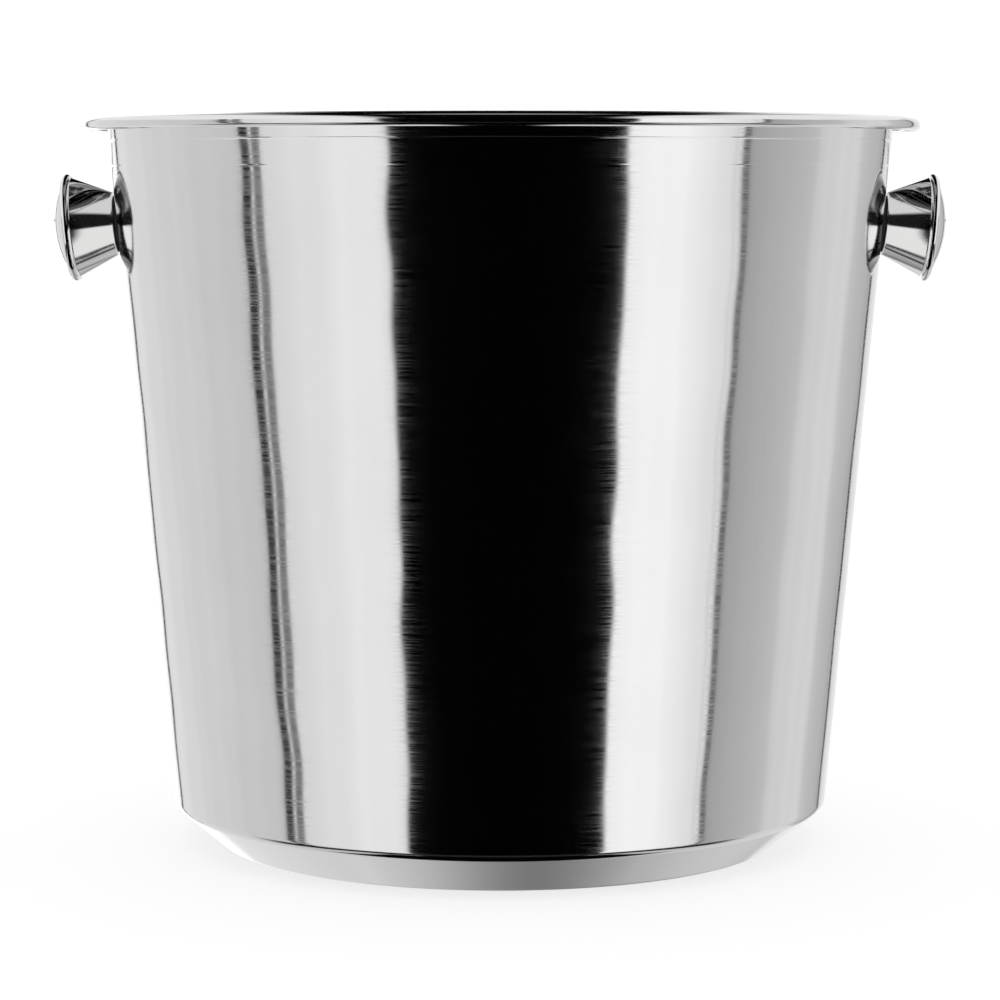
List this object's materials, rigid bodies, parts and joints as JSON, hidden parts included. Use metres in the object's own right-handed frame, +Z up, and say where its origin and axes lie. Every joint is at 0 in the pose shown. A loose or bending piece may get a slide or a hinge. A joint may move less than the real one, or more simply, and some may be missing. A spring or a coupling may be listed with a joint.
{
  "type": "champagne bucket",
  "caption": "Round tapered metal bucket with a turned-out hemmed rim, a slanted bottom corner and flared knob handles on opposite sides.",
  "frame": {"origin": "on the table, at the middle of the foot ring", "axes": "+X points through the right knob, +Y to the back, +Z up out of the mouth"},
  "size_m": [0.2462, 0.23, 0.2],
  "materials": {
    "bucket_steel": "mirror-polished stainless steel with fine lines round the wall",
    "knob_steel": "mirror-polished stainless steel",
    "fastener_steel": "plain machined stainless steel",
    "black_rubber": "matte black rubber"
  },
  "bodies": {
    "root": {"bucket_body": "bucket_steel", "left_knob_body": "knob_steel", "left_knob_cap": "knob_steel", "left_knob_nut": "fastener_steel", "left_outer_gasket": "black_rubber", "left_inner_seal": "black_rubber", "left_inner_washer": "fastener_steel", "left_lock_washer": "fastener_steel", "left_screw": "fastener_steel", "right_knob_body": "knob_steel", "right_knob_cap": "knob_steel", "right_knob_nut": "fastener_steel", "right_outer_gasket": "black_rubber", "right_inner_seal": "black_rubber", "right_inner_washer": "fastener_steel", "right_lock_washer": "fastener_steel", "right_screw": "fastener_steel"}
  },
  "joints": []
}
